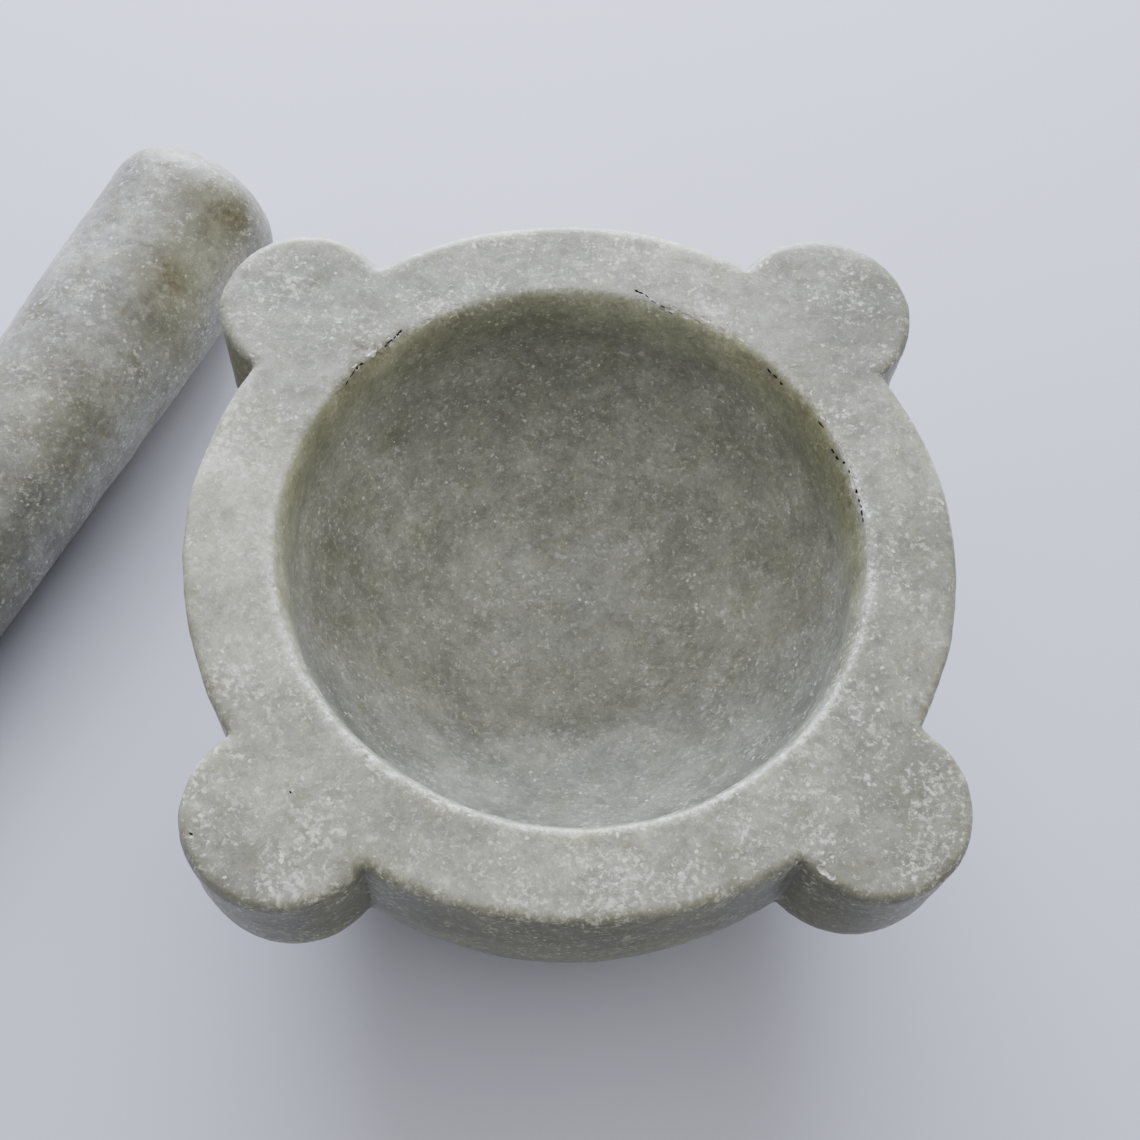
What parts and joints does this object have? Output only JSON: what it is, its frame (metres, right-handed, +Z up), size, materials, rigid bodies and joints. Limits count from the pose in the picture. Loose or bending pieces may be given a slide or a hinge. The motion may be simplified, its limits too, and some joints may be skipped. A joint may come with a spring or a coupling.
{
  "type": "mortar and pestle",
  "caption": "Turned marble mortar with a deep round bowl and half-round lugs at its rim, and a loose domed marble pestle lying beside it.",
  "frame": {"origin": "centre of the mortar's flat underside, on the table that both pieces stand on", "axes": "+Z up, along the bowl's axis, out of its mouth; the lugs point along the diagonals of +X and +Y, and the pestle lies on the -X side"},
  "size_m": [0.2518, 0.2211, 0.095],
  "materials": {
    "mortar_marble": "hand-cut and worn grey-white marble, sugar grained, satin",
    "pestle_marble": "turned and handled grey-brown marble, stained, satin"
  },
  "bodies": {
    "mortar": {"mortar": "mortar_marble"},
    "pestle": {"pestle": "pestle_marble"}
  },
  "joints": [
    {"name": "pestle_lift", "type": "slide", "parent": "mortar", "child": "pestle", "axis": [0, 0, 1], "range_m": [0, 0.15]}
  ]
}
